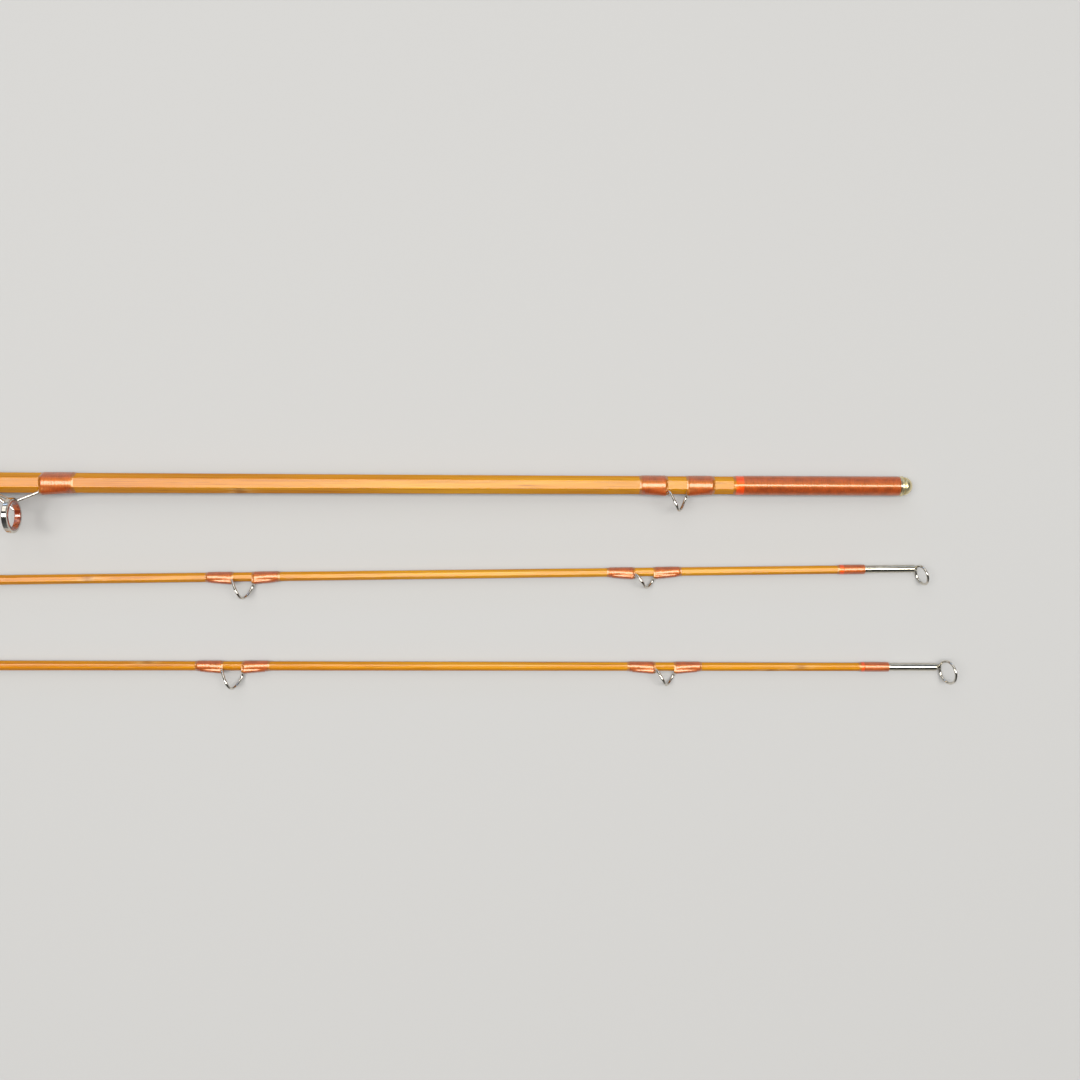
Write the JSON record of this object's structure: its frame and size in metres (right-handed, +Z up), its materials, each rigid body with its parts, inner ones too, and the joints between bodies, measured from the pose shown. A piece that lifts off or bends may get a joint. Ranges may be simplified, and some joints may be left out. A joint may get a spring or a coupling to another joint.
{
  "type": "fly rod",
  "caption": "Split-cane fly rod taken down: butt with cork grip and screw reel seat, and two slim tips with snake guides, laid side by side.",
  "frame": {"origin": "on the table, under the middle of the bounding box of the three sections as they lie", "axes": "+X along the rod towards the tip-tops, +Y across the table from the tips to the butt section, +Z up"},
  "size_m": [1.0972, 0.0814, 0.0264],
  "materials": {
    "cane": "varnished split cane, fine lengthwise grain",
    "copper_thread": "silk thread under gloss varnish",
    "orange_thread": "silk thread under gloss varnish",
    "guide_wire": "bright hard-chromed wire",
    "tip_top_tube": "polished",
    "guide_insert": "polished agate",
    "nickel_silver": "polished nickel silver",
    "plug_brass": "polished pale brass",
    "water_plug": "dull, sealed inside the socket",
    "seat_wood": "oiled walnut",
    "cork": "sanded natural cork"
  },
  "bodies": {
    "butt_section": {"butt_cane_strips": "cane", "butt_cap": "nickel_silver", "seat_threaded_barrel": "nickel_silver", "seat_wood_spacer": "seat_wood", "seat_front_hood": "nickel_silver", "grip_cork_rings": "cork", "winding_check": "nickel_silver", "check_thread_wrap": "copper_thread", "hook_keeper": "guide_wire", "hook_keeper_wraps": "copper_thread", "stripping_guide_frame": "guide_wire", "stripping_guide_ring": "guide_insert", "stripping_guide_wraps": "copper_thread", "butt_snake_guide": "guide_wire", "butt_snake_guide_wraps": "copper_thread", "female_ferrule": "nickel_silver", "ferrule_water_plug": "water_plug", "female_ferrule_wrap": "copper_thread", "ferrule_trim_wrap": "orange_thread"},
    "sliding_hood": {"seat_sliding_hood": "nickel_silver"},
    "lock_nut": {"seat_lock_nut": "nickel_silver"},
    "ferrule_plug": {"ferrule_plug": "plug_brass"},
    "tip_section_1": {"tip_1_cane_strips": "cane", "tip_1_male_ferrule": "nickel_silver", "tip_1_ferrule_wrap": "copper_thread", "tip_1_ferrule_trim_wrap": "orange_thread", "tip_1_tip_top_tube": "tip_top_tube", "tip_1_tip_top_ring": "guide_wire", "tip_1_tip_top_wrap": "copper_thread", "tip_1_tip_top_trim_wrap": "orange_thread", "tip_1_snake_guide_1": "guide_wire", "tip_1_snake_guide_2": "guide_wire", "tip_1_snake_guide_3": "guide_wire", "tip_1_snake_guide_4": "guide_wire", "tip_1_snake_guide_5": "guide_wire", "tip_1_snake_guide_6": "guide_wire", "tip_1_snake_guide_wraps": "copper_thread"},
    "tip_section_2": {"tip_2_cane_strips": "cane", "tip_2_male_ferrule": "nickel_silver", "tip_2_ferrule_wrap": "copper_thread", "tip_2_ferrule_trim_wrap": "orange_thread", "tip_2_tip_top_tube": "tip_top_tube", "tip_2_tip_top_ring": "guide_wire", "tip_2_tip_top_wrap": "copper_thread", "tip_2_tip_top_trim_wrap": "orange_thread", "tip_2_snake_guide_1": "guide_wire", "tip_2_snake_guide_2": "guide_wire", "tip_2_snake_guide_3": "guide_wire", "tip_2_snake_guide_4": "guide_wire", "tip_2_snake_guide_5": "guide_wire", "tip_2_snake_guide_6": "guide_wire", "tip_2_snake_guide_wraps": "copper_thread"}
  },
  "joints": [
    {"name": "hood_slide", "type": "slide", "parent": "butt_section", "child": "sliding_hood", "axis": [0.9999, -0.0035, -0.0108], "range_m": [0, 0.01016]},
    {"name": "lock_nut_turn", "type": "hinge", "parent": "sliding_hood", "child": "lock_nut", "pos_m": [-0.5315, 0.02808, 0.0147], "axis": [0.9999, -0.0035, -0.0108], "range_deg": [0, 2881]},
    {"name": "ferrule_plug_pull", "type": "slide", "parent": "butt_section", "child": "ferrule_plug", "axis": [0.9999, -0.0035, -0.0108], "range_m": [0, 0.04]},
    {"name": "tip_1_draw", "type": "slide", "parent": "butt_section", "child": "tip_section_1", "axis": [0.9999, 0.0122, 0], "range_m": [0, 1.15]},
    {"name": "tip_2_draw", "type": "slide", "parent": "butt_section", "child": "tip_section_2", "axis": [1, -0.0017, 0], "range_m": [0, 1.15]}
  ],
  "couplings": [
    {"joint": "lock_nut_turn", "follows": "hood_slide", "rad_per_m": 4947.4}
  ]
}
